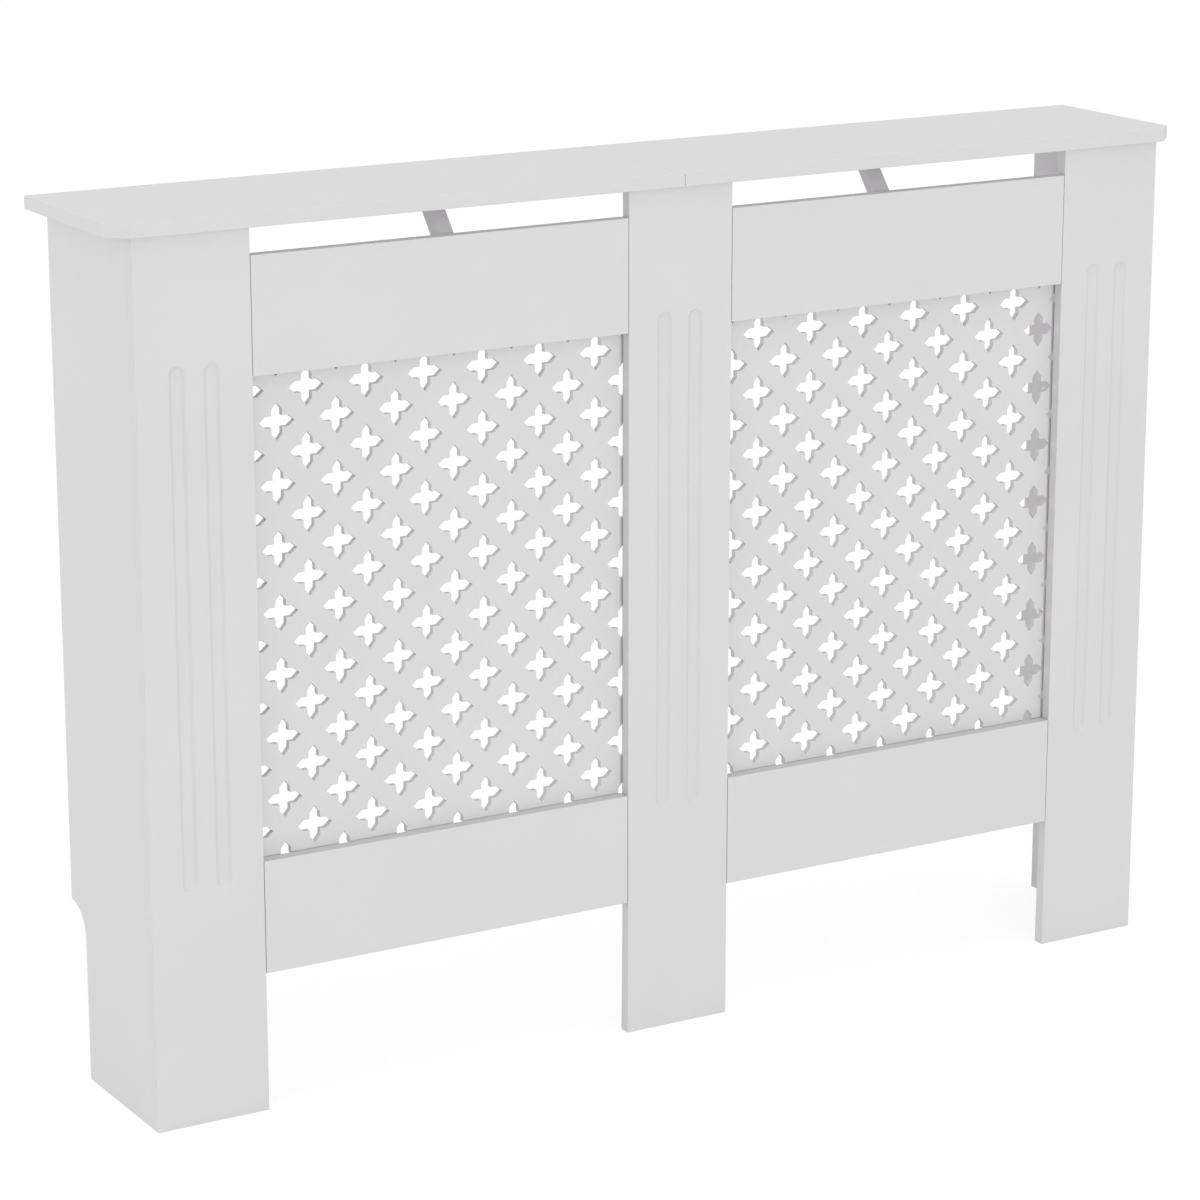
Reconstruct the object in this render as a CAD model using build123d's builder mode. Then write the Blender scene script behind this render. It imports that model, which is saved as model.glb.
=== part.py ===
from build123d import *
from math import ceil, hypot
import os

# A slim radiator cover of painted board. Three fluted pilasters and four rails make the front frame,
# two pierced grille panels stand behind it, and a shelf in two halves lies on top.
# X runs along the wall, Y from the room to the wall, and Z up. The origin is on the floor, in the
# middle of the shelf's outline. All sizes are in millimetres.

# The shelf
cover_length = 1120.0
cover_height = 815.0
cover_depth = 187.0
shelf_thickness = 12.0
shelf_end_overhang = 21.0
shelf_front_overhang = 7.0
shelf_corner_cut = 18.0
shelf_seam = 0.4

# The front frame
frame_thickness = 12.0
pilaster_width = 109.0
rail_height = 105.0
rail_end_gap = 0.6
warm_air_gap = 25.0
foot_gap = 130.0

# The flutes, two on each pilaster
flute_width = 16.5
flute_spacing = 32.6
flute_depth = 3.0
flute_wall_slope = 56.0
flute_bottom = 217.0
flute_top = 689.5

# The side panels, notched at the bottom back for the skirting board
side_thickness = 12.0
notch_depth = 30.5
notch_height = 166.0

# The grille: a staggered lattice of pointed crosses
grille_thickness = 6.0
grille_lap = 25.0
lattice_pitch_x = 58.2
lattice_pitch_z = 57.04
lattice_shift_x = 5.2
lattice_shift_z = 3.1
cross_span = 34.0
cross_arm_width = 10.2
cross_point = 6.0
cut_margin = 4.0

# The braces under the shelf, each from a drop below the shelf to a reach behind its rail
brace_width = 16.0
brace_thickness = 12.0
brace_drop = 33.0
brace_reach = 27.7
brace_offset = 231.5

# The steel angles and the joint plate
steel = 2.0
angle_leg = 25.0
angle_width = 16.0
corner_angle_heights = [110.0, 735.0]
wall_angle_leg = 40.0
wall_angle_height = 700.0
wall_hole_radius = 2.5
wall_hole_inset = 14.0
middle_angle_offset = 30.0
joint_plate_length = 80.0
joint_plate_width = 30.0

# What the sizes above lead to
body_height = cover_height - shelf_thickness
body_half = cover_length / 2 - shelf_end_overhang
side_inside = body_half - side_thickness
wall = cover_depth / 2
frame_front = shelf_front_overhang - cover_depth / 2
frame_back = frame_front + frame_thickness
window_inner = pilaster_width / 2
window_outer = body_half - pilaster_width
window_bottom = foot_gap + rail_height
window_top = body_height - warm_air_gap - rail_height

os.makedirs("parts", exist_ok=True)


def upright(depth):
    """The upright plane at that depth, seen from the room: its x is X and its y is Z."""
    return Plane.XZ.offset(-depth)


def save(piece, name):
    """Labels a finished piece and writes it to its own file."""
    piece.part.label = name
    export_step(piece.part, f"parts/{name}.step")


def make_shelf_half(name, hand):
    """A half of the shelf. It ends at the seam, and its front corner is cut off."""
    half_length = (cover_length - shelf_seam) / 2
    half_middle = (cover_length + shelf_seam) / 4
    with BuildPart() as shelf:
        with BuildSketch(Plane.XY.offset(body_height)):
            with Locations((hand * half_middle, 0)):
                Rectangle(half_length, cover_depth)
        extrude(amount=shelf_thickness)
        outer_front = (hand * cover_length / 2, -cover_depth / 2, body_height)
        front_corner = shelf.edges().filter_by(Axis.Z).sort_by_distance(outer_front)[0]
        chamfer(front_corner, shelf_corner_cut)
    save(shelf, name)


def make_pilaster(name, middle):
    """A front post from the floor to the shelf, with a pair of routed flutes that end round."""
    with BuildPart() as pilaster:
        with BuildSketch(upright(frame_back)):
            with Locations((middle, body_height / 2)):
                Rectangle(pilaster_width, body_height)
        extrude(amount=frame_thickness)
        with BuildSketch(upright(frame_front)):
            with Locations((middle, (flute_bottom + flute_top) / 2)):
                with GridLocations(flute_spacing, 0, 2, 1):
                    SlotOverall(flute_top - flute_bottom, flute_width, rotation=90)
        extrude(amount=-flute_depth, taper=flute_wall_slope, mode=Mode.SUBTRACT)
    save(pilaster, name)


def make_rail(name, hand, bottom):
    """A cross rail, flush with the pilasters, with a fine shadow gap at each end."""
    with BuildPart() as rail:
        with BuildSketch(upright(frame_back)):
            with Locations((hand * (window_inner + window_outer) / 2, bottom + rail_height / 2)):
                Rectangle(window_outer - window_inner - 2 * rail_end_gap, rail_height)
        extrude(amount=frame_thickness)
    save(rail, name)


def make_side_panel(name, hand):
    """A side from the outer pilaster back to the wall. Its notch has a quarter-round top."""
    panel_depth = wall - frame_back
    inner_face = side_inside if hand > 0 else -body_half
    with BuildPart() as panel:
        with BuildSketch(Plane.YZ.offset(inner_face)):
            with Locations((frame_back + panel_depth / 2, body_height / 2)):
                Rectangle(panel_depth, body_height)
            with Locations((wall, notch_height - notch_depth)):
                Circle(notch_depth, mode=Mode.SUBTRACT)
            with Locations((wall, 0)):
                foot = (Align.MAX, Align.MIN)
                Rectangle(notch_depth, notch_height - notch_depth, align=foot, mode=Mode.SUBTRACT)
        extrude(amount=side_thickness)
    save(panel, name)


def lattice_points(low_x, high_x):
    """Middles of the crosses that show between two pilasters. Every other place of the grid is left
    out, and the grid is counted from the middle of the cover, so both bays share one lattice."""
    step_x = lattice_pitch_x / 2
    step_z = lattice_pitch_z / 2
    middle_z = (window_bottom + window_top) / 2 + lattice_shift_z
    reach = cross_span / 2
    columns = ceil(cover_length / lattice_pitch_x)
    rows = ceil(cover_height / lattice_pitch_z)
    points = []
    for column in range(-columns, columns + 1):
        for row in range(-rows, rows + 1):
            x = lattice_shift_x + column * step_x
            z = middle_z + row * step_z
            shows = low_x < x + reach and x - reach < high_x
            shows = shows and window_bottom < z + reach and z - reach < window_top
            if shows and (column + row) % 2 == 0:
                points.append((x, z))
    return points


def make_grille(name, hand):
    """A pierced panel that laps the backs of its two rails and two pilasters. The crosses at the
    border stop just behind the frame, so the margin that takes the screws is whole board."""
    low_x, high_x = sorted((hand * window_inner, hand * window_outer))
    middle = ((low_x + high_x) / 2, (window_bottom + window_top) / 2)
    window = (high_x - low_x, window_top - window_bottom)
    arm_half = cross_arm_width / 2
    tip = cross_span / 2
    shoulder = tip - cross_point
    arm = [(0, tip), (-arm_half, shoulder), (-arm_half, -shoulder), (0, -tip)]
    arm += [(arm_half, -shoulder), (arm_half, shoulder)]
    with BuildSketch() as crosses:
        with Locations(*lattice_points(low_x, high_x)):
            Polygon(*arm)
            Polygon(*arm, rotation=90)
        with Locations(middle):
            Rectangle(window[0] + 2 * cut_margin, window[1] + 2 * cut_margin, mode=Mode.INTERSECT)
    with BuildPart() as grille:
        with BuildSketch(upright(frame_back + grille_thickness)):
            with Locations(middle):
                Rectangle(window[0] + 2 * grille_lap, window[1] + 2 * grille_lap)
            add(crosses.sketch, mode=Mode.SUBTRACT)
        extrude(amount=grille_thickness)
    save(grille, name)


def make_brace(name, hand):
    """A slanting strut from the back of a top rail to the shelf, mitred to lie flat on both."""
    slant = hypot(brace_reach, brace_drop)
    shelf_mitre = brace_thickness * slant / brace_drop
    rail_mitre = brace_thickness * slant / brace_reach
    with BuildPart() as brace:
        with BuildSketch(Plane.YZ.offset(hand * brace_offset - brace_width / 2)):
            with BuildLine():
                Polyline(
                    (frame_back, body_height - brace_drop),
                    (frame_back + brace_reach, body_height),
                    (frame_back + brace_reach + shelf_mitre, body_height),
                    (frame_back, body_height - brace_drop - rail_mitre),
                    close=True,
                )
            make_face()
        extrude(amount=brace_width)
    save(brace, name)


def angle_section(corner, first_leg, second_leg):
    """The outline of a bent steel strip: two legs that meet square at the corner. A leg's sign says
    which way it runs."""
    steel_x = steel if first_leg > 0 else -steel
    steel_y = steel if second_leg > 0 else -steel
    x, y = corner
    return [
        (x, y),
        (x + first_leg, y),
        (x + first_leg, y + steel_y),
        (x + steel_x, y + steel_y),
        (x + steel_x, y + second_leg),
        (x, y + second_leg),
    ]


def make_corner_angles(name, hand):
    """The angles that hold a side panel square to the back of its pilaster."""
    with BuildPart() as angles:
        for height in corner_angle_heights:
            with BuildSketch(Plane.XY.offset(height - angle_width / 2)):
                Polygon(*angle_section((hand * side_inside, frame_back), -hand * angle_leg, angle_leg))
            extrude(amount=angle_width)
    save(angles, name)


def make_wall_angle(name, hand):
    """The angle that holds a side panel to the wall. The leg on the wall has the screw's hole."""
    with BuildPart() as angle:
        with BuildSketch(Plane.XY.offset(wall_angle_height - angle_width / 2)):
            Polygon(*angle_section((hand * side_inside, wall), -hand * angle_leg, -wall_angle_leg))
        extrude(amount=angle_width)
        with BuildSketch(upright(wall)):
            with Locations((hand * (side_inside - wall_hole_inset), wall_angle_height)):
                Circle(wall_hole_radius)
        extrude(amount=steel, mode=Mode.SUBTRACT)
    save(angle, name)


def make_shelf_angle(name, hand):
    """The angle that holds the shelf down on a side panel."""
    with BuildPart() as angle:
        with BuildSketch(upright(angle_width / 2)):
            Polygon(*angle_section((hand * side_inside, body_height), -hand * angle_leg, -angle_leg))
        extrude(amount=angle_width)
    save(angle, name)


for name, hand in {"left": -1, "right": 1}.items():
    make_shelf_half(f"shelf_{name}", hand)
    make_side_panel(f"side_panel_{name}", hand)
    make_pilaster(f"pilaster_{name}", hand * (body_half - pilaster_width / 2))
    make_rail(f"top_rail_{name}", hand, window_top)
    make_rail(f"bottom_rail_{name}", hand, foot_gap)
    make_grille(f"grille_{name}", hand)
    make_brace(f"shelf_brace_{name}", hand)
    make_corner_angles(f"corner_angles_{name}", hand)
    make_wall_angle(f"wall_angle_{name}", hand)
    make_shelf_angle(f"shelf_angle_{name}", hand)
make_pilaster("pilaster_middle", 0)

# The angles that hold each half of the shelf to the middle pilaster
with BuildPart() as middle_angles:
    for hand in (-1, 1):
        with BuildSketch(Plane.YZ.offset(hand * middle_angle_offset - angle_width / 2)):
            Polygon(*angle_section((frame_back, body_height), angle_leg, -angle_leg))
        extrude(amount=angle_width)
save(middle_angles, "shelf_angles_middle")

# The flat plate that joins the two halves of the shelf from below
with BuildPart() as joint_plate:
    with BuildSketch(Plane.XY.offset(body_height - steel)):
        Rectangle(joint_plate_length, joint_plate_width)
    extrude(amount=steel)
save(joint_plate, "shelf_joint_plate")
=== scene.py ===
import bmesh
import bpy
import numpy as np
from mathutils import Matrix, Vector


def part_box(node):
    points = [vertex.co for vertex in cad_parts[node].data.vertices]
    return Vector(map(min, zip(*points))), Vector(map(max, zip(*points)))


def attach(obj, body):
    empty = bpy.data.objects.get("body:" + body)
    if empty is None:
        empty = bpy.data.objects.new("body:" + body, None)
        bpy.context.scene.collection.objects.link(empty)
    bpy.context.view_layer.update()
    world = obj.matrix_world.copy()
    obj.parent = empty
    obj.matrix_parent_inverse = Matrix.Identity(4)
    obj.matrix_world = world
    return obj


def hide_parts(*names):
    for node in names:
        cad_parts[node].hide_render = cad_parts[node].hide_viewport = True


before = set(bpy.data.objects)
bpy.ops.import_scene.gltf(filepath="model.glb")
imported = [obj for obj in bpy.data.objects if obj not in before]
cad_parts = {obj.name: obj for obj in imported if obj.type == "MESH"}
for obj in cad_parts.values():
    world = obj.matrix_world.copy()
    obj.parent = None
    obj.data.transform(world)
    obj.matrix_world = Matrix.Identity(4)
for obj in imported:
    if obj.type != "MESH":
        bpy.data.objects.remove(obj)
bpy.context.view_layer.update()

# ---------------------------------------------------------------------------------------------
# The shelf: two 12 mm fibreboards that butt over the middle pilaster. Each is sawn, its front
# corner is cut off at 45 degrees, its edges are eased with sandpaper, and it is sprayed white
# all over. Steel angles and a joint plate hold the two down from below.
# ---------------------------------------------------------------------------------------------
shelf_corner_cut = 0.018
eased_edge = 0.0006
corner_steps = 4
sharp_turn = np.radians(30)
weld_distance = 1e-6

# A board lies flat, stands facing the room, or stands across it. The rows of each frame are
# the directions of the outline's two coordinates and of the board's thickness.
lying = np.array([[1, 0, 0], [0, 1, 0], [0, 0, 1]], float)
facing_room = np.array([[1, 0, 0], [0, 0, 1], [0, -1, 0]], float)
standing_across = np.array([[0, 1, 0], [0, 0, 1], [1, 0, 0]], float)


def put_mesh(name, sheets, caps, directions):
    """One welded mesh object from sheets and caps, given in the coordinates of directions.

    A sheet is (points in rows and columns, whether its last column meets its first, which of its
    quads shade as curved). Each quad joins a point to the next in its row and to the row above.
    A cap is a loop of points that makes one flat face.
    """
    points, faces, curved, start = [], [], [], 0
    for sheet, closed, smooth in sheets:
        number = start + np.arange(sheet.shape[0] * sheet.shape[1]).reshape(sheet.shape[:2])
        if closed:
            number = np.concatenate([number, number[:, :1]], axis=1)
        corners = [number[:-1, :-1], number[:-1, 1:], number[1:, 1:], number[1:, :-1]]
        quads = np.stack(corners, axis=-1)
        faces += quads.reshape(-1, 4).tolist()
        curved.append(np.broadcast_to(smooth, quads.shape[:2]).ravel())
        points.append(sheet.reshape(-1, 3))
        start += len(points[-1])
    for cap in caps:
        faces.append(list(range(start, start + len(cap))))
        curved.append(np.array([False]))
        points.append(cap)
        start += len(cap)
    if np.linalg.det(directions) < 0:
        faces = [face[::-1] for face in faces]
    mesh = bpy.data.meshes.new(name)
    mesh.from_pydata(np.concatenate(points) @ directions, [], faces)
    mesh.polygons.foreach_set("use_smooth", np.concatenate(curved))
    weld = bmesh.new()
    weld.from_mesh(mesh)
    bmesh.ops.remove_doubles(weld, verts=weld.verts, dist=weld_distance)
    weld.to_mesh(mesh)
    weld.free()
    piece = bpy.data.objects.new(name, mesh)
    bpy.context.scene.collection.objects.link(piece)
    return piece


def eased_outline(outline, radius):
    """Inner points, outward directions, reaches and corner numbers of an anticlockwise outline.

    The inner point of a corner lies radius inside both of its edges. Where the outline turns
    outwards by more than a sharp turn, the direction swings about that point from one edge's
    normal to the next one's. Elsewhere there is one direction, the mean of the two normals. The
    eased outline is inner point + reach * direction.
    """
    outline = np.asarray(outline, float)
    along = np.roll(outline, -1, axis=0) - outline
    along /= np.linalg.norm(along, axis=1, keepdims=True)
    after = np.stack([along[:, 1], -along[:, 0]], axis=1)
    before = np.roll(after, 1, axis=0)
    dot = np.sum(before * after, axis=1)
    turn = np.arctan2(before[:, 0] * after[:, 1] - before[:, 1] * after[:, 0], dot)
    inner = outline - radius * (before + after) / (1 + dot)[:, None]
    sharp = turn > sharp_turn
    count = np.where(sharp, corner_steps + 1, 1)
    corner = np.repeat(np.arange(len(outline)), count)
    step = np.arange(len(corner)) - np.repeat(np.cumsum(count) - count, count)
    share = np.where(sharp[corner], step / corner_steps, 0.5)
    angle = np.arctan2(before[corner, 1], before[corner, 0]) + share * turn[corner]
    direction = np.stack([np.cos(angle), np.sin(angle)], axis=1)
    reach = np.where(sharp[corner], radius, radius / np.cos(turn[corner] / 2))
    return inner[corner], direction, reach, corner


def eased_rim(outline, low, high, radius, cut_below=0.0):
    """The edge of a board with both of its arrises eased, as a sheet and its lower and upper rims.

    Point = inner point + (reach cos(a) - cut s) direction. The height is low + radius + cut (1 - s)
    + radius sin(a) while a runs from -90 to 0 degrees, and high - radius + radius sin(a) while it
    runs from 0 to 90. The cut is each outline point's share of cut_below, the width of a chamfer
    at 45 degrees on the lower arris, and s falls from 1 to 0 as a runs from -90 to 0 degrees.
    """
    inner, direction, reach, corner = eased_outline(outline, radius)
    swing = np.radians(np.linspace(-90, 90, 2 * corner_steps + 1))
    swing = np.insert(swing, corner_steps, 0.0)[:, None]
    upper = np.arange(len(swing))[:, None] > corner_steps
    cut = np.where(upper, 0.0, np.broadcast_to(cut_below, len(outline))[corner][None])
    s = np.maximum(-swing, 0) / (np.pi / 2)
    level = np.where(upper, high - radius, low + radius) + cut * (1 - s) + radius * np.sin(swing)
    out = reach[None] * np.cos(swing) - cut * s
    plane = inner[None] + out[..., None] * direction[None]
    sheet = np.concatenate([plane, level[..., None]], axis=2)
    curved = np.ones((len(swing) - 1, len(corner)), bool)
    curved[corner_steps] = corner == np.roll(corner, -1)
    return (sheet, True, curved), plane[0], plane[-1]


def at_height(plane_points, height):
    """Outline points with the height added as their third coordinate."""
    return np.column_stack([plane_points, np.full(len(plane_points), height)])


def eased_board(name, outline, low, high, directions, radius=eased_edge):
    """A board: its eased rim, closed by a flat face on each side."""
    rim, lower, upper = eased_rim(outline, low, high, radius)
    caps = [at_height(lower, low)[::-1], at_height(upper, high)]
    return put_mesh(name, [rim], caps, directions)


def add_node(tree, kind, values=(), links=(), **settings):
    """A shader node with its settings, its values, and the links into it by input name."""
    node = tree.nodes.new(kind)
    for key, value in settings.items():
        setattr(node, key, value)
    for key, value in dict(values).items():
        node.inputs[key].default_value = value
    for key, socket in dict(links).items():
        tree.links.new(socket, node.inputs[key])
    return node


def combine(tree, operation, *terms):
    """The result of a Math node. Each term is a number or a socket."""
    numbers = {order: term for order, term in enumerate(terms) if isinstance(term, float)}
    sockets = {order: term for order, term in enumerate(terms) if order not in numbers}
    return add_node(tree, "ShaderNodeMath", numbers, sockets, operation=operation).outputs[0]


def noise(tree, vector, scale, detail, roughness):
    """The value of a cloudy pattern with that many clouds to the metre."""
    settings = {"Scale": scale, "Detail": detail, "Roughness": roughness}
    return add_node(tree, "ShaderNodeTexNoise", settings, {"Vector": vector}).outputs["Fac"]


def graded(tree, value, ends, results=(0.0, 1.0)):
    """The value carried from between two ends to between two results, and held there."""
    limits = {"From Min": ends[0], "From Max": ends[1], "To Min": results[0], "To Max": results[1]}
    return add_node(tree, "ShaderNodeMapRange", limits, {"Value": value}).outputs["Result"]


def new_group(name, inputs, outputs):
    """An empty shader node group with named inputs and outputs, and its two end nodes."""
    tree = bpy.data.node_groups.new(name, "ShaderNodeTree")
    for label, kind, value in inputs:
        socket = tree.interface.new_socket(label, in_out="INPUT", socket_type=kind)
        socket.default_value = value
    for label, kind in outputs:
        tree.interface.new_socket(label, in_out="OUTPUT", socket_type=kind)
    return tree, tree.nodes.new("NodeGroupInput"), tree.nodes.new("NodeGroupOutput")


patch_scale = 9.0
peel_scale = 420.0
fibre_scale = 1500.0
noise_spread = (0.3, 0.7)
film_tones = (0.988, 1.012)
film_roughness = (0.46, 0.54)
flat_to_sawn = (0.85, 0.5)


def build_sprayed_paint():
    """The look of sprayed paint on fibreboard.

    The film is a little uneven: broad soft patches of tone, and a fine orange-peel skin. On sawn
    edges, where the surface's normal leaves the board's own direction, the paint is duller and
    the fibres show as a fine, strong grain. There the colour is also darkened by the edge shade,
    which is painted shade for edges that lie in shadow.
    """
    inputs = [
        ("Paint", "NodeSocketColor", (0.8, 0.8, 0.8, 1)),
        ("Board Direction", "NodeSocketVector", (0, 0, 1)),
        ("Edge Shade", "NodeSocketFloat", 1.0),
        ("Gloss Loss", "NodeSocketFloat", 0.12),
    ]
    outputs = [
        ("Color", "NodeSocketColor"),
        ("Roughness", "NodeSocketFloat"),
        ("Height", "NodeSocketFloat"),
    ]
    tree, given, result = new_group("sprayed_paint", inputs, outputs)
    coordinates = add_node(tree, "ShaderNodeTexCoord")
    spot = coordinates.outputs["Object"]
    patches = noise(tree, spot, patch_scale, detail=3.0, roughness=0.55)
    peel = noise(tree, spot, peel_scale, detail=2.0, roughness=0.4)
    fibres = noise(tree, spot, fibre_scale, detail=4.0, roughness=0.7)
    across = add_node(
        tree, "ShaderNodeVectorMath", {},
        {0: coordinates.outputs["Normal"], 1: given.outputs["Board Direction"]},
        operation="DOT_PRODUCT",
    )
    flat = combine(tree, "ABSOLUTE", across.outputs["Value"])
    sawn = graded(tree, flat, flat_to_sawn)
    tone = graded(tree, patches, noise_spread, film_tones)
    # Painted shade: the colour of sawn edges is darkened towards the edge shade.
    edge_shading = add_node(
        tree, "ShaderNodeMapRange", {"To Min": 1.0},
        {"Value": sawn, "To Max": given.outputs["Edge Shade"]},
    )
    shade = combine(tree, "MULTIPLY", tone, edge_shading.outputs["Result"])
    colour = add_node(
        tree, "ShaderNodeVectorMath", {}, {0: given.outputs["Paint"], "Scale": shade},
        operation="SCALE",
    )
    sheen = graded(tree, patches, noise_spread, film_roughness)
    dull = combine(tree, "MULTIPLY_ADD", sawn, given.outputs["Gloss Loss"], sheen)
    height = combine(tree, "ADD", peel, combine(tree, "MULTIPLY", fibres, sawn))
    tree.links.new(colour.outputs["Vector"], result.inputs["Color"])
    tree.links.new(dull, result.inputs["Roughness"])
    tree.links.new(height, result.inputs["Height"])
    return tree


sprayed_paint = build_sprayed_paint()
white_paint = (0.722, 0.718, 0.722, 1)
paint_specular = 0.35
peel_strength = 0.35
peel_height = 0.00004


def finished_material(name, group, values, relief_strength, relief_height):
    """A material, and its shader, whose colour, roughness and relief come from a finish's group."""
    material = bpy.data.materials.new(name)
    material.use_nodes = True
    tree = material.node_tree
    surface = tree.nodes["Principled BSDF"]
    look = add_node(tree, "ShaderNodeGroup", values, node_tree=group)
    look.name = "look"
    relief = add_node(
        tree, "ShaderNodeBump", {"Strength": relief_strength, "Distance": relief_height},
        {"Height": look.outputs["Height"]},
    )
    tree.links.new(look.outputs["Color"], surface.inputs["Base Color"])
    tree.links.new(look.outputs["Roughness"], surface.inputs["Roughness"])
    tree.links.new(relief.outputs["Normal"], surface.inputs["Normal"])
    return material, surface


def painted_material(name, paint, board_direction, edge_shade=1.0):
    """Sprayed paint on a board whose broad faces look along board_direction."""
    # The last value darkens the sawn edges, as painted shade for edges that lie in shadow.
    values = {"Paint": paint, "Board Direction": board_direction, "Edge Shade": edge_shade}
    material, surface = finished_material(name, sprayed_paint, values, peel_strength, peel_height)
    surface.inputs["Specular IOR Level"].default_value = paint_specular
    return material


def fit_piece(piece, node, material):
    """The piece gets its material and slot, stands with the cover, and takes the node's place."""
    piece.data.materials.append(material)
    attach(piece, "root")
    if node:
        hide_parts(node)


shelf_paint = painted_material("white_paint_on_lying_board", white_paint, (0, 0, 1))
for side in ("left", "right"):
    low, high = (np.array(corner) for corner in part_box(f"shelf_{side}"))
    cut = shelf_corner_cut
    if side == "left":
        outline = [(low[0] + cut, low[1]), (high[0], low[1]), (high[0], high[1])]
        outline += [(low[0], high[1]), (low[0], low[1] + cut)]
    else:
        outline = [(low[0], low[1]), (high[0] - cut, low[1]), (high[0], low[1] + cut)]
        outline += [(high[0], high[1]), (low[0], high[1])]
    shelf = eased_board(f"shelf_board_{side}", outline, low[2], high[2], lying)
    fit_piece(shelf, f"shelf_{side}", shelf_paint)

# ---------------------------------------------------------------------------------------------
# The side panels: 12 mm fibreboard from the outer pilasters back to the wall, sprayed white.
# Their inner faces are painted a darker grey, as painted shade for the inside of the cover. The
# bottom back corner is jigsawn out round the skirting board, with a quarter-round top.
# ---------------------------------------------------------------------------------------------
notch_depth = 0.0305
notch_height = 0.166
notch_arc_steps = 24
tight_edge = 0.0003
inner_face_depth = 0.0003
# Painted shade: a darker grey for the panels' inner faces and the braces, inside the cover.
shaded_white = (0.635, 0.612, 0.635, 1)


def spot_on_cover(tree):
    """A spot's distance from the middle of the cover, its depth and its height, in metres."""
    coordinates = add_node(tree, "ShaderNodeTexCoord")
    spot = add_node(tree, "ShaderNodeSeparateXYZ", {}, {0: coordinates.outputs["Object"]}).outputs
    return combine(tree, "ABSOLUTE", spot["X"]), spot["Y"], spot["Z"]


def two_paints(material, paint, other_paint, mask):
    """Shows the other paint on a painted material where the mask is 1.

    A Mix node's two colours are its inputs 6 and 7, and their mix is its output 2.
    """
    tree = material.node_tree
    paints = {6: paint, 7: other_paint}
    shown = add_node(tree, "ShaderNodeMix", paints, {0: mask}, data_type="RGBA").outputs[2]
    tree.links.new(shown, tree.nodes["look"].inputs["Paint"])


side_paint = painted_material("white_paint_on_side_board", white_paint, (1, 0, 0))
tree = side_paint.node_tree
aside = spot_on_cover(tree)[0]
inner_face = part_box("side_panel_right")[0][0] + inner_face_depth
# The inner faces get the darker grey: painted shade inside the cover.
two_paints(side_paint, white_paint, shaded_white, combine(tree, "LESS_THAN", aside, inner_face))
for side in ("left", "right"):
    low, high = (np.array(corner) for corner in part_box(f"side_panel_{side}"))
    around = np.radians(np.linspace(180, 90, notch_arc_steps + 1))
    arc = np.stack([high[1] + notch_depth * np.cos(around),
                    notch_height - notch_depth + notch_depth * np.sin(around)], axis=1)
    foot = [(low[1], low[2]), (high[1] - notch_depth, low[2])]
    top = [(high[1], high[2]), (low[1], high[2])]
    outline = np.concatenate([foot, arc, top])
    panel = eased_board(f"side_board_{side}", outline, low[0], high[0], standing_across,
                        tight_edge)
    fit_piece(panel, f"side_panel_{side}", side_paint)

# ---------------------------------------------------------------------------------------------
# The pilasters: three 12 mm posts, each routed with two flutes before it is sprayed. The cutter
# leaves a flat floor, a softly rounded wall, and a round end at the top and the bottom. The
# edges that face a bay are painted a little darker, as painted shade.
# ---------------------------------------------------------------------------------------------
flute_width = 0.0165
flute_spacing = 0.0326
flute_depth = 0.003
flute_bottom = 0.217
flute_top = 0.6895
flute_lip = 0.00045
flute_wall_run = 0.005
flute_wall_steps = 12
grille_side_chamfer = 0.0014
# Painted shade for the edges of the pilasters that face a bay.
inner_edge_shade = (0.692, 0.684, 0.692, 1)
outer_edge_depth = 0.005
edge_turn = 0.7
arc_steps = 10
cap_steps = 5
round_off = 1e-9
round_off_digits = 9


def flute_cell(left, right, bottom, top, middle, face):
    """The front of a pilaster round one flute: a flat ring, the flute's wall and its floor.

    The columns go round the flute. Each starts at a point of the spine, the line between the
    middles of the two round ends, and runs outwards at an angle: through the flute's edge, at
    half its width, and on to the cell's border. On the wall, u runs from 0 at the lip to 1 at the
    floor, and depth = flute depth * (1 - cos(180 u)) / 2.
    """
    radius = flute_width / 2
    spine_top, spine_bottom = flute_top - radius, flute_bottom + radius
    top_right = np.arctan2(top - spine_top, right - middle)
    top_left = np.pi - np.arctan2(top - spine_top, middle - left)
    low_left = np.pi + np.arctan2(spine_bottom - bottom, middle - left)
    low_right = 2 * np.pi - np.arctan2(spine_bottom - bottom, right - middle)
    upper = [np.linspace(0, top_right, arc_steps)[:-1],
             np.linspace(top_right, top_left, cap_steps)[:-1],
             np.linspace(top_left, np.pi, arc_steps)]
    lower = [np.linspace(np.pi, low_left, arc_steps)[:-1],
             np.linspace(low_left, low_right, cap_steps)[:-1],
             np.linspace(low_right, 2 * np.pi, arc_steps)]
    upper, lower = np.concatenate(upper), np.concatenate(lower)
    angle = np.concatenate([upper, lower])
    spine = np.repeat([spine_top, spine_bottom], [len(upper), len(lower)])
    spine = np.stack([np.full(len(angle), middle), spine], axis=1)
    ray = np.stack([np.cos(angle), np.sin(angle)], axis=1)
    ray[np.abs(ray) < round_off] = 0.0
    room = np.where(ray > 0, [right, top], [left, bottom]) - spine
    reach = np.where(ray == 0, np.inf, room / np.where(ray == 0, 1.0, ray)).min(axis=1)
    border = spine + reach[:, None] * ray
    u = np.linspace(0, 1, flute_wall_steps + 1)
    wall = radius + flute_lip - flute_wall_run * u
    depth = flute_depth * (1 - np.cos(np.pi * u)) / 2

    def rows(distances, depths):
        """Points at those distances along the rays, at those depths behind the face."""
        plane = spine[None] + distances[:, None, None] * ray[None]
        height = np.broadcast_to((face - depths)[:, None, None], plane.shape[:2] + (1,))
        return np.concatenate([plane, height], axis=2)

    lip = rows(wall[:1], depth[:1])
    ring = np.concatenate([at_height(border, face)[None], lip])
    floor = rows(np.array([wall[-1], 0.0]), np.array([flute_depth, flute_depth]))
    return [(ring, True, False), (rows(wall, depth), True, True), (floor, True, False)], border


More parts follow.
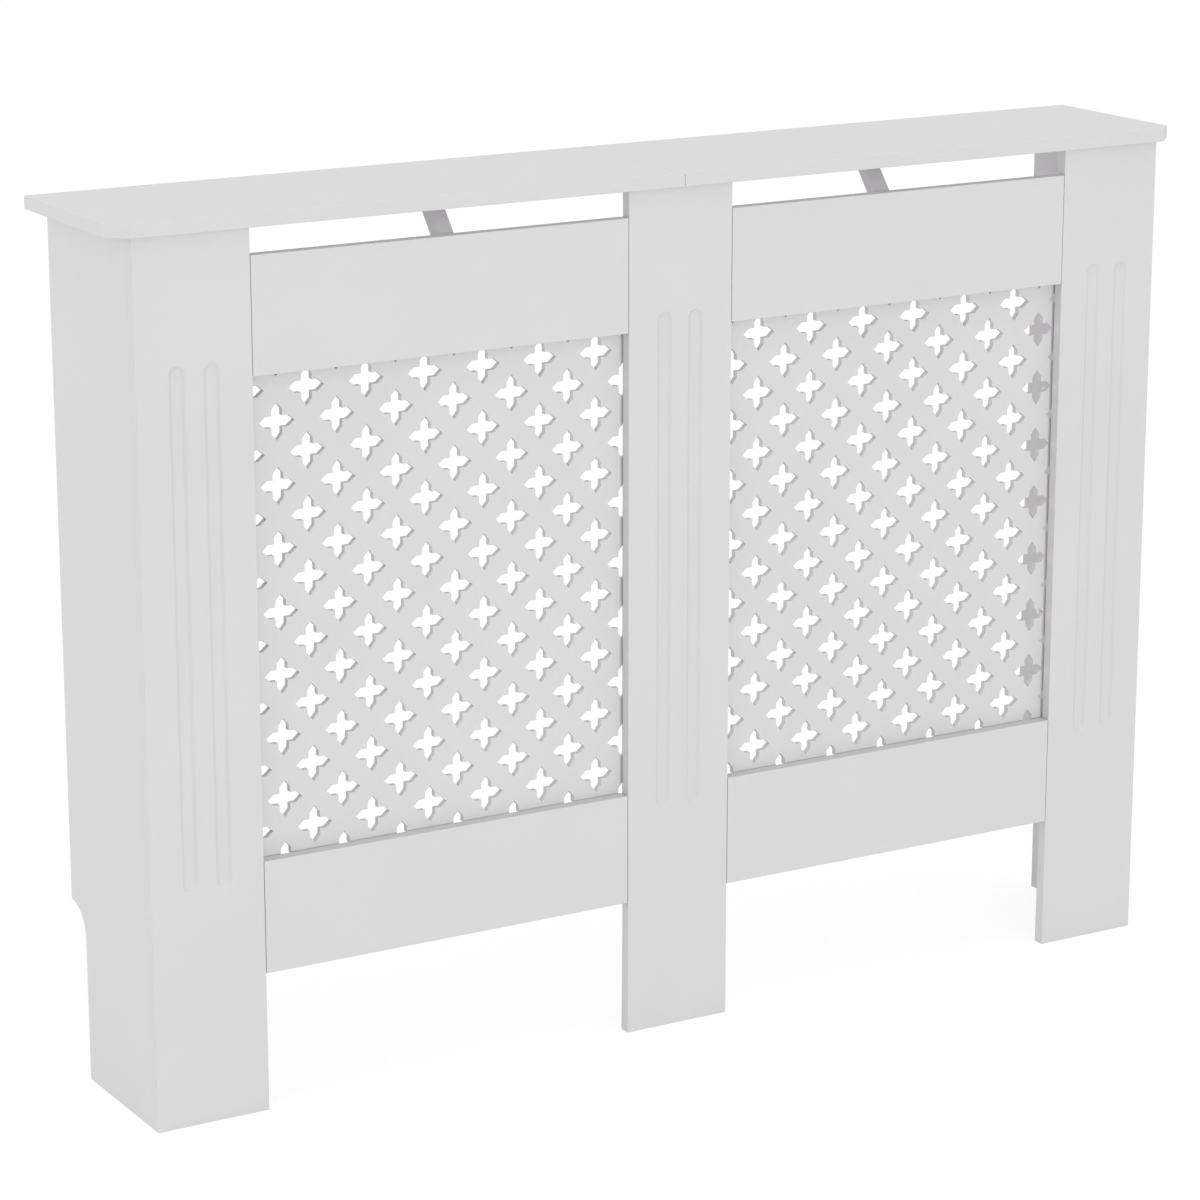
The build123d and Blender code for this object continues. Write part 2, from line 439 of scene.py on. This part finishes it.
front_paint = painted_material("white_paint_on_front_board", white_paint, (0, 1, 0))
tree = front_paint.node_tree
aside = spot_on_cover(tree)[0]
outer_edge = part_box("pilaster_right")[1][0] - outer_edge_depth
normal = add_node(tree, "ShaderNodeTexCoord").outputs["Normal"]
sideways = add_node(tree, "ShaderNodeSeparateXYZ", {}, {0: normal}).outputs["X"]
on_edge = combine(tree, "GREATER_THAN", combine(tree, "ABSOLUTE", sideways), edge_turn)
inner_edge = combine(tree, "MULTIPLY", combine(tree, "LESS_THAN", aside, outer_edge), on_edge)
# The edges that face a bay get the darker paint: painted shade.
two_paints(front_paint, white_paint, inner_edge_shade, inner_edge)
for place in ("left", "middle", "right"):
    low, high = (np.array(corner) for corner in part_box(f"pilaster_{place}"))
    middle = (low[0] + high[0]) / 2
    face, back = -low[1], -high[1]
    inner_low = np.array([low[0], low[2]]) + tight_edge
    inner_high = np.array([high[0], high[2]]) - tight_edge
    left_cell, left_border = flute_cell(inner_low[0], middle, inner_low[1], inner_high[1],
                                        middle - flute_spacing / 2, face)
    right_cell, right_border = flute_cell(middle, inner_high[0], inner_low[1], inner_high[1],
                                          middle + flute_spacing / 2, face)

    # The rim's points are the ones that the two cells put on the edge of the face, in order.
    border = np.concatenate([left_border, right_border])
    on_low, on_high = np.isclose(border, inner_low), np.isclose(border, inner_high)
    border = border[np.any(on_low | on_high, axis=1)]
    border = np.unique(np.round(border, round_off_digits), axis=0)
    outwards = np.isclose(border, inner_high).astype(float) - np.isclose(border, inner_low)
    centre = (inner_low + inner_high) / 2
    order = np.argsort(np.arctan2(border[:, 1] - centre[1], border[:, 0] - centre[0]))
    outline = (border + tight_edge * outwards)[order]

    # The back arris gets a chamfer beside a bay, where the grille lies on it.
    faces_grille = np.zeros(len(outline), bool)
    if place != "left":
        faces_grille |= np.isclose(outline[:, 0], low[0])
    if place != "right":
        faces_grille |= np.isclose(outline[:, 0], high[0])
    faces_grille &= (outline[:, 1] > low[2] + tight_edge) & (outline[:, 1] < high[2] - tight_edge)
    cut_below = np.where(faces_grille, grille_side_chamfer, 0.0)
    rim, lower, upper = eased_rim(outline, back, face, tight_edge, cut_below)
    sheets = [rim] + left_cell + right_cell
    back_face = [at_height(lower, back)[::-1]]
    pilaster = put_mesh(f"pilaster_board_{place}", sheets, back_face, facing_room)
    fit_piece(pilaster, f"pilaster_{place}", front_paint)

# ---------------------------------------------------------------------------------------------
# The rails: four 12 mm cross boards between the pilasters, flush with them in front. They are
# cut a hair short, so a fine dark line shows at each end. They are sprayed white, and their sawn
# edges are painted darker, those of the bottom rails more: painted shade for the ledges under the
# shelf and at the foot of the grille.
# ---------------------------------------------------------------------------------------------
# Painted shade: how dark the sawn edges of each rail are painted.
rail_edge_shades = {"top": 0.96, "bottom": 0.87}

for height, edge_shade in rail_edge_shades.items():
    rail_paint = painted_material(f"white_paint_on_{height}_rail", white_paint, (0, 1, 0),
                                  edge_shade)
    for side in ("left", "right"):
        low, high = (np.array(corner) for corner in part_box(f"{height}_rail_{side}"))
        outline = [(low[0], low[2]), (high[0], low[2]), (high[0], high[2]), (low[0], high[2])]
        rail = eased_board(f"{height}_rail_board_{side}", outline, -high[1], -low[1],
                           facing_room, tight_edge)
        fit_piece(rail, f"{height}_rail_{side}", rail_paint)

# ---------------------------------------------------------------------------------------------
# The grille panels: 6 mm fibreboard, pierced on a router with a staggered lattice of pointed
# crosses. Each keeps its modelled shape, and its edges get the router's fine ease. Its cut edges
# are painted a little darker, and its front is painted dark where it laps the pilasters and the
# rails and in a narrow strip beside them: painted shade for the crevice behind the frame.
# ---------------------------------------------------------------------------------------------
pierced_eased_edge = 0.0002
pierced_eased_steps = 2
# Painted shade: the cut edges, the walls of the crosses among them, are painted a little darker.
pierced_edge_shade = 0.92
# Painted shade: a dark strip on the grille's front along the pilasters and rails, reaching a little
# into the open window, for the shadow in the crevice.
crevice_shade_reach = 0.0015
crevice_shade_reach_at_rails = 0.0008
crevice_shade_fade = 0.0003
crevice_shade_depth = 0.0005
crevice_shade = (0.48, 0.445, 0.47, 1)

grille_paint = painted_material(
    "white_paint_on_pierced_board", white_paint, (0, 1, 0), pierced_edge_shade,
)
tree = grille_paint.node_tree
aside, depth, height = spot_on_cover(tree)
windows = [
    (aside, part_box("pilaster_middle")[1][0] + crevice_shade_reach,
     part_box("pilaster_right")[0][0] - crevice_shade_reach),
    (height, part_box("bottom_rail_left")[1][2] + crevice_shade_reach_at_rails,
     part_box("top_rail_left")[0][2] - crevice_shade_reach_at_rails),
]
distances = []
for value, white_from, white_to in windows:
    distances.append(combine(tree, "SUBTRACT", white_from, value))
    distances.append(combine(tree, "SUBTRACT", value, white_to))
beyond = distances[0]
for distance in distances[1:]:
    beyond = combine(tree, "MAXIMUM", beyond, distance)
crevice_shaded = graded(tree, beyond, (-crevice_shade_fade, crevice_shade_fade))
in_front = combine(tree, "LESS_THAN", depth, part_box("grille_left")[0][1] + crevice_shade_depth)
# The dark strip goes on the grille's front only: painted shade of the crevice.
two_paints(grille_paint, white_paint, crevice_shade, combine(tree, "MULTIPLY", crevice_shaded, in_front))
for side in ("left", "right"):
    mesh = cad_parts[f"grille_{side}"].data.copy()
    merged = bmesh.new()
    merged.from_mesh(mesh)
    bmesh.ops.remove_doubles(merged, verts=merged.verts, dist=weld_distance)
    merged.to_mesh(mesh)
    merged.free()
    mesh.materials.clear()
    grille = bpy.data.objects.new(f"pierced_panel_{side}", mesh)
    bpy.context.scene.collection.objects.link(grille)
    ease = grille.modifiers.new("eased edges", "BEVEL")
    ease.width = pierced_eased_edge
    ease.segments = pierced_eased_steps
    ease.limit_method = "ANGLE"
    ease.angle_limit = sharp_turn
    fit_piece(grille, f"grille_{side}", grille_paint)

# ---------------------------------------------------------------------------------------------
# The braces: short struts of fibreboard that slant from the back of each top rail up to the
# shelf. Both ends are mitred to lie flat, and glued. They are painted a darker grey, as painted
# shade under the shelf.
# ---------------------------------------------------------------------------------------------
brace_drop = 0.033
brace_reach = 0.0277

# Painted shade: the braces get the darker grey for the shade under the shelf.
brace_paint = painted_material("shaded_white_paint_on_strut", shaded_white, (1, 0, 0))
for side in ("left", "right"):
    low, high = (np.array(corner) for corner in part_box(f"shelf_brace_{side}"))
    outline = [(low[1], low[2]), (high[1], high[2])]
    outline += [(low[1] + brace_reach, high[2]), (low[1], high[2] - brace_drop)]
    brace = eased_board(f"brace_strut_{side}", outline, low[0], high[0], standing_across,
                        tight_edge)
    fit_piece(brace, f"shelf_brace_{side}", brace_paint)

# ---------------------------------------------------------------------------------------------
# The steel angles and the joint plate: zinc-plated strip, punched, bent square and screwed on.
# They hold the side panels to the pilasters, to the shelf and to the wall, and join the two
# halves of the shelf from below. The strips' ends are rounded.
# ---------------------------------------------------------------------------------------------
steel_thickness = 0.002
short_leg = 0.025
wall_leg = 0.040
bend_radius = 0.003
bend_steps = 6
strip_width = 0.016
end_radius = 0.003
hole_inset = 0.014
far_hole_inset = 0.031
screw_hole_radius = 0.0021
wall_hole_radius = 0.0025
punched_length = 0.022
punched_steps = 12
punched_edge = 0.00025
punched_edge_steps = 2
punched_edge_angle = np.radians(40)
strip_tone = (0.60, 0.61, 0.63, 1)
strip_spangle_scale = 160.0
spangle_tones = (0.9, 1.08)
zinc_patch_scale = 70.0
zinc_roughness = (0.28, 0.46)
zinc_relief_strength = 0.25
zinc_relief_height = 0.00005
corner_angle_heights = (0.110, 0.735)
wall_angle_height = 0.700
middle_angle_places = (-0.030, 0.030)


def punched_cell(low, high, hole, radius, rounded):
    """A flat ring of the sheet, from a hole out to the border of a rectangle.

    The columns go round anticlockwise. The border's points are evenly spaced on each side. Those
    in a rounded corner move to the arc: arc middle + end radius * unit(point - arc middle). Each
    point of the hole is hole middle + radius * unit(border point - hole middle).
    """
    low, high, hole = (np.asarray(point, float) for point in (low, high, hole))
    corners = np.array([low, (high[0], low[1]), high, (low[0], high[1])])
    share = np.linspace(0, 1, punched_steps + 1)[:-1, None]
    border = (corners[:, None] + share * (np.roll(corners, -1, axis=0) - corners)[:, None])
    border = border.reshape(-1, 2)
    for number in rounded:
        inwards = np.sign((low + high) / 2 - corners[number])
        arc_middle = corners[number] + end_radius * inwards
        away = border - arc_middle
        in_corner = np.all(away * inwards < round_off, axis=1)
        length = np.linalg.norm(away, axis=1, keepdims=True)
        border = np.where(in_corner[:, None], arc_middle + end_radius * away / length, border)
    ray = border - hole
    ray /= np.linalg.norm(ray, axis=1, keepdims=True)
    return np.stack([hole + radius * ray, border])


def bent_strip(across, second_leg=short_leg, second_hole=hole_inset,
               first_radius=screw_hole_radius):
    """The outer face of an angle, as sheets in (along leg one, along leg two, across) coordinates.

    s runs along the strip from the end of leg one, over the bend, to the end of leg two. With
    b = the bend's radius, s1 = leg one - b and a = (s - s1) / b held between 0 and 90 degrees:
    along leg one = max(s1 - s, 0) + b - b sin(a), and
    along leg two = max(s - s1 - b pi/2, 0) + b - b cos(a).
    """
    bend_start = short_leg - bend_radius
    bend_end = bend_start + np.pi / 2 * bend_radius
    full = bend_end + second_leg - bend_radius
    side = strip_width / 2
    first_place = short_leg - hole_inset
    first = punched_cell((0, -side), (bend_start, side), (first_place, 0), first_radius, (0, 3))
    second_place = bend_end + second_hole - bend_radius
    second = punched_cell((full - punched_length, -side), (full, side), (second_place, 0),
                          screw_hole_radius, (1, 2))
    rows = np.linspace(bend_start, bend_end, bend_steps + 1)
    curved = np.ones((bend_steps, 1), bool)
    if full - punched_length > bend_end + weld_distance:
        rows = np.append(rows, full - punched_length)
        curved = np.append(curved, [[False]], axis=0)
    columns = np.linspace(-side, side, punched_steps + 1)
    middle = np.stack(np.broadcast_arrays(rows[:, None], columns[None]), axis=-1)

    def bend(sheet):
        """The sheet carried over the bend, by the formula above."""
        along, sideways = sheet[..., 0], sheet[..., 1]
        angle = np.clip((along - bend_start) / bend_radius, 0, np.pi / 2)
        one = np.maximum(bend_start - along, 0) + bend_radius * (1 - np.sin(angle))
        two = np.maximum(along - bend_end, 0) + bend_radius * (1 - np.cos(angle))
        return np.stack([one, two, sideways + across], axis=-1)

    return [(bend(first), True, False), (bend(middle), False, curved), (bend(second), True, False)]


def move_sheets(sheets, corner, directions):
    """The same sheets with their origin at the corner, given in the cover's own coordinates."""
    place = np.asarray(corner, float) @ np.asarray(directions).T
    return [(sheet + place, closed, curved) for sheet, closed, curved in sheets]


def build_zinc():
    """The look of zinc plate: a soft spangle of tone, and a gloss that is duller in patches."""
    inputs = [
        ("Zinc", "NodeSocketColor", (0.6, 0.6, 0.6, 1)),
        ("Spangle Scale", "NodeSocketFloat", strip_spangle_scale),
    ]
    outputs = [
        ("Color", "NodeSocketColor"),
        ("Roughness", "NodeSocketFloat"),
        ("Height", "NodeSocketFloat"),
    ]
    tree, given, result = new_group("zinc_plate", inputs, outputs)
    spot = add_node(tree, "ShaderNodeTexCoord").outputs["Object"]
    spangle = add_node(
        tree, "ShaderNodeTexVoronoi", {},
        {"Vector": spot, "Scale": given.outputs["Spangle Scale"]},
    )
    dull = noise(tree, spot, zinc_patch_scale, detail=4.0, roughness=0.6)
    cell = add_node(tree, "ShaderNodeSeparateColor", {}, {"Color": spangle.outputs["Color"]})
    tone = graded(tree, cell.outputs["Red"], (0.0, 1.0), spangle_tones)
    colour = add_node(
        tree, "ShaderNodeVectorMath", {}, {0: given.outputs["Zinc"], "Scale": tone},
        operation="SCALE",
    )
    gloss = graded(tree, dull, noise_spread, zinc_roughness)
    tree.links.new(colour.outputs["Vector"], result.inputs["Color"])
    tree.links.new(gloss, result.inputs["Roughness"])
    tree.links.new(dull, result.inputs["Height"])
    return tree


zinc_plate = build_zinc()


def zinc_material(name, zinc, spangle_scale):
    """Zinc-plated steel, with its tone and how many spangles it has to the metre."""
    values = {"Zinc": zinc, "Spangle Scale": spangle_scale}
    material, surface = finished_material(name, zinc_plate, values, zinc_relief_strength,
                                          zinc_relief_height)
    surface.inputs["Metallic"].default_value = 1.0
    return material


def fit_steel(name, node, sheets, directions):
    """The sheets become 2 mm steel with punched edges, and take the node's place."""
    piece = put_mesh(name, sheets, [], directions)
    thickness = piece.modifiers.new("sheet thickness", "SOLIDIFY")
    thickness.thickness = steel_thickness
    thickness.offset = -1
    thickness.use_even_offset = True
    edge = piece.modifiers.new("punched edge", "BEVEL")
    edge.width = punched_edge
    edge.segments = punched_edge_steps
    edge.limit_method = "ANGLE"
    edge.angle_limit = punched_edge_angle
    fit_piece(piece, node, bracket_zinc)


bracket_zinc = zinc_material("zinc_plated_strip", strip_tone, strip_spangle_scale)
frame_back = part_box("pilaster_middle")[1][1]
shelf_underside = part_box("shelf_left")[0][2]
wall_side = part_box("side_panel_left")[1][1]
side_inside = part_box("side_panel_right")[0][0]
for side, hand in {"left": -1, "right": 1}.items():
    corner_angle = np.array([[-hand, 0, 0], [0, 1, 0], [0, 0, 1]], float)
    sheets = []
    for height in corner_angle_heights:
        strip = bent_strip(height)
        sheets += move_sheets(strip, (hand * side_inside, frame_back, 0), corner_angle)
    fit_steel(f"corner_strips_{side}", f"corner_angles_{side}", sheets, corner_angle)

    wall_angle = np.array([[-hand, 0, 0], [0, -1, 0], [0, 0, 1]], float)
    strip = bent_strip(wall_angle_height, wall_leg, far_hole_inset, wall_hole_radius)
    sheets = move_sheets(strip, (hand * side_inside, wall_side, 0), wall_angle)
    fit_steel(f"wall_strip_{side}", f"wall_angle_{side}", sheets, wall_angle)

    shelf_angle = np.array([[-hand, 0, 0], [0, 0, -1], [0, 1, 0]], float)
    strip = bent_strip(0.0)
    sheets = move_sheets(strip, (hand * side_inside, 0, shelf_underside), shelf_angle)
    fit_steel(f"shelf_strip_{side}", f"shelf_angle_{side}", sheets, shelf_angle)

middle_angle = np.array([[0, 1, 0], [0, 0, -1], [1, 0, 0]], float)
sheets = []
for place in middle_angle_places:
    strip = bent_strip(place)
    sheets += move_sheets(strip, (0, frame_back, shelf_underside), middle_angle)
fit_steel("shelf_strips_middle", "shelf_angles_middle", sheets, middle_angle)

plate_hole_inset = 0.012
plate_hole_side = 0.007
low, high = (np.array(corner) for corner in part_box("shelf_joint_plate"))
sheets = []
for number, (across, along) in enumerate([(-1, -1), (1, -1), (1, 1), (-1, 1)]):
    corner = np.array([high[0] if across > 0 else low[0], high[1] if along > 0 else low[1]])
    hole = corner - np.array([across * plate_hole_inset, along * (high[1] - plate_hole_side)])
    cell = punched_cell(np.minimum(corner, 0), np.maximum(corner, 0), hole, screw_hole_radius,
                        (number,))
    level = np.full(cell.shape[:2] + (1,), high[2])
    sheets.append((np.concatenate([cell, level], axis=2)[::-1], True, False))
fit_steel("shelf_joint_strip", "shelf_joint_plate", sheets, lying)

# ---------------------------------------------------------------------------------------------
# The screws: zinc-plated pan heads with a cross recess. They hold the steel to the boards, and
# twelve of them hold the margin of each grille to the backs of its rails and pilasters. Two on
# each side panel hold nothing that shows.
# ---------------------------------------------------------------------------------------------
head_radius = 0.0036
head_height = 0.0023
head_columns = 32
head_rows = 10
head_fullness = 2 / 3
recess_depth = 0.0013
recess_reach = 0.0021
recess_end_steepness = 1.6
recess_half_width = 0.00055
recess_wall_steepness = 2
golden_turn = np.radians(137.5)
spare_screw_inset = 0.030
spare_screw_heights = (0.299, 0.531)
screw_tone = (0.66, 0.67, 0.69, 1)
screw_spangle_scale = 420.0

screw_zinc = zinc_material("zinc_plated_screw", screw_tone, screw_spangle_scale)


def screw_head(turn):
    """A pan head on the plane z = 0, closed below, as rows from the rim up to the middle.

    With a from 0 to 90 degrees, radius = head radius * cos(a)^fullness and z = head height *
    sin(a)^fullness. The recess then lowers z by its depth, times a ramp that falls to 0 at its
    reach, times a ramp that falls to 0 where the lesser of |x| and |y| leaves the slot.
    """
    swing = np.linspace(0, np.pi / 2, head_rows + 1)[:, None]
    around = 2 * np.pi * np.arange(head_columns)[None] / head_columns
    radius = head_radius * np.abs(np.cos(swing)) ** head_fullness
    radius[-1] = 0.0
    x, y = radius * np.cos(around), radius * np.sin(around)
    from_slot = np.minimum(np.abs(x), np.abs(y)) / recess_half_width
    slot = np.clip(recess_wall_steepness * (1 - from_slot), 0, 1)
    ramp = np.clip(recess_end_steepness * (1 - radius / recess_reach), 0, 1)
    z = head_height * np.sin(swing) ** head_fullness - recess_depth * slot * ramp
    turned = [x * np.cos(turn) - y * np.sin(turn), x * np.sin(turn) + y * np.cos(turn)]
    return np.stack([turned[0], turned[1], z], axis=-1)


def seat_screws(name, groups):
    """One piece of many heads. A group is the places of its heads and the way that they face."""
    sheets, caps, count = [], [], 0
    for places, facing in groups:
        aside = np.roll(facing, 1)
        directions = np.array([aside, np.cross(facing, aside), facing], float)
        for place in places:
            head = screw_head(count * golden_turn) @ directions + np.asarray(place)
            sheets.append((head, True, True))
            caps.append(head[0][::-1])
            count += 1
    piece = put_mesh(name, sheets, caps, np.eye(3))
    fit_piece(piece, None, screw_zinc)


downwards, to_wall = (0, 0, -1), (0, 1, 0)
for side, hand in {"left": -1, "right": 1}.items():
    on_side = hand * (side_inside - steel_thickness)
    in_from_side = hand * (side_inside - hole_inset)
    inwards = (-hand, 0, 0)
    seat_screws(f"corner_screws_{side}", [
        ([(on_side, frame_back + hole_inset, z) for z in corner_angle_heights], inwards),
        ([(in_from_side, frame_back + steel_thickness, z) for z in corner_angle_heights], to_wall),
    ])
    seat_screws(f"wall_strip_screw_{side}", [
        ([(on_side, wall_side - far_hole_inset, wall_angle_height)], inwards),
    ])
    spare_y = wall_side - spare_screw_inset
    seat_screws(f"spare_screws_{side}", [
        ([(hand * side_inside, spare_y, z) for z in spare_screw_heights], inwards),
    ])
    seat_screws(f"shelf_screws_{side}", [
        ([(on_side, 0, shelf_underside - hole_inset)], inwards),
        ([(in_from_side, 0, shelf_underside - steel_thickness)], downwards),
    ])

seat_screws("shelf_screws_middle", [
    ([(x, frame_back + steel_thickness, shelf_underside - hole_inset) for x in middle_angle_places],
     to_wall),
    ([(x, frame_back + hole_inset, shelf_underside - steel_thickness) for x in middle_angle_places],
     downwards),
])
plate_x = high[0] - plate_hole_inset
plate_corners = [(x, y) for x in (-plate_x, plate_x) for y in (-plate_hole_side, plate_hole_side)]
seat_screws("joint_screws", [
    ([(x, y, shelf_underside - steel_thickness) for x, y in plate_corners], downwards),
])

margin_inset = 0.0125
screws_each_way = 4
for side in ("left", "right"):
    low, high = (np.array(corner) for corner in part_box(f"grille_{side}"))
    across = np.linspace(low[0] + margin_inset, high[0] - margin_inset, screws_each_way)
    upright = np.linspace(low[2] + margin_inset, high[2] - margin_inset, screws_each_way)
    places = [(x, high[1], z) for x in across for z in upright
              if x in across[[0, -1]] or z in upright[[0, -1]]]
    seat_screws(f"grille_screws_{side}", [(places, to_wall)])

# ---------------------------------------------------------------------------------------------
# The floor, the light and the camera. The floor is a pale sweep that shows white to the camera
# and keeps a faint shadow. The light is a soft dome with five wide lamps some 8 to 9 m away: in
# front low down, high in front, on the left, behind on the left, and overhead.
# ---------------------------------------------------------------------------------------------
floor_size = 30.0
floor_tone = 0.9
floor_mottle = 0.005
floor_mottle_scale = 3.0
shown_glow = 0.785
shown_tone = 0.28
dome_colour = (0.998, 0.993, 1.0, 1)
dome_strength = 0.726
lamp_aim = (0, 0, 0.4)
camera_lens = 119.74
camera_sensor = 36.0
camera_place = (-1.87067, -3.12709, 1.37374)
camera_turn = np.radians([74.988, 0.0, -30.425])


def seen_directly(tree):
    """A mask that is 1 for what the camera sees itself, in a mirror or through glass."""
    path = add_node(tree, "ShaderNodeLightPath").outputs
    either = combine(tree, "MAXIMUM", path["Is Camera Ray"], path["Is Glossy Ray"])
    return combine(tree, "MAXIMUM", either, path["Is Transmission Ray"])


def soft_lamp(name, place, width, height, power, colour):
    """A wide area lamp that looks at the middle of the cover."""
    light = bpy.data.lights.new(name, "AREA")
    light.shape = "RECTANGLE"
    light.size = width
    light.size_y = height
    light.energy = power
    light.color = colour
    lamp = bpy.data.objects.new(name, light)
    lamp.location = place
    lamp.rotation_euler = (Vector(lamp_aim) - Vector(place)).to_track_quat("-Z", "Y").to_euler()
    lamp.visible_camera = False
    bpy.context.scene.collection.objects.link(lamp)


half = floor_size / 2
floor_mesh = bpy.data.meshes.new("studio_floor")
floor_corners = [(-half, -half, 0), (half, -half, 0), (half, half, 0), (-half, half, 0)]
floor_mesh.from_pydata(floor_corners, [], [(0, 1, 2, 3)])
floor = bpy.data.objects.new("studio_floor", floor_mesh)
bpy.context.scene.collection.objects.link(floor)
floor_material = bpy.data.materials.new("studio_floor")
floor_material.use_nodes = True
tree = floor_material.node_tree
tree.nodes.clear()
coordinates = add_node(tree, "ShaderNodeTexCoord")
mottle = noise(tree, coordinates.outputs["Object"], floor_mottle_scale, detail=2.0, roughness=0.5)
tone = graded(tree, mottle, (0.0, 1.0), (floor_tone - floor_mottle, floor_tone + floor_mottle))
matt = add_node(tree, "ShaderNodeBsdfDiffuse", {}, {"Color": tone})
shown_colour = (shown_tone, shown_tone, shown_tone, 1)
shown_matt = add_node(tree, "ShaderNodeBsdfDiffuse", {"Color": shown_colour})
glow = add_node(tree, "ShaderNodeEmission", {"Color": (1, 1, 1, 1), "Strength": shown_glow})
shown = add_node(tree, "ShaderNodeAddShader", {}, {0: shown_matt.outputs[0], 1: glow.outputs[0]})
either = add_node(tree, "ShaderNodeMixShader", {},
                  {0: seen_directly(tree), 1: matt.outputs[0], 2: shown.outputs[0]})
result = tree.nodes.new("ShaderNodeOutputMaterial")
tree.links.new(either.outputs[0], result.inputs["Surface"])
floor_mesh.materials.append(floor_material)

world = bpy.data.worlds.new("studio")
bpy.context.scene.world = world
world.use_nodes = True
tree = world.node_tree
tree.nodes.clear()
dome = add_node(tree, "ShaderNodeBackground", {"Color": dome_colour, "Strength": dome_strength})
backdrop = add_node(tree, "ShaderNodeBackground", {"Color": (1, 1, 1, 1), "Strength": 1.0})
either = add_node(tree, "ShaderNodeMixShader", {},
                  {0: seen_directly(tree), 1: dome.outputs[0], 2: backdrop.outputs[0]})
result = tree.nodes.new("ShaderNodeOutputWorld")
tree.links.new(either.outputs[0], result.inputs["Surface"])

soft_lamp("low_front_lamp", (-1.6, -9.0, 1.2), 8.0, 3.0, 143.4, (0.992, 1.0, 0.983))
soft_lamp("high_front_lamp", (-1.0, -7.6, 5.4), 6.0, 6.0, 49.7, (0.984, 0.988, 1.0))
soft_lamp("left_lamp", (-8.4, 2.6, 2.0), 6.0, 4.4, 60.5, (0.914, 1.0, 0.868))
soft_lamp("left_back_lamp", (-5.2, 6.8, 1.6), 6.0, 3.6, 67.7, (0.963, 0.896, 1.0))
soft_lamp("overhead_lamp", (0, -0.6, 8.4), 8.0, 6.0, 113.0, (0.976, 1.0, 0.963))

camera_data = bpy.data.cameras.new("camera")
camera_data.lens = camera_lens
camera_data.sensor_width = camera_sensor
camera = bpy.data.objects.new("camera", camera_data)
camera.location = camera_place
camera.rotation_euler = camera_turn
bpy.context.scene.collection.objects.link(camera)
bpy.context.scene.camera = camera
bpy.context.scene.view_settings.view_transform = "Standard"
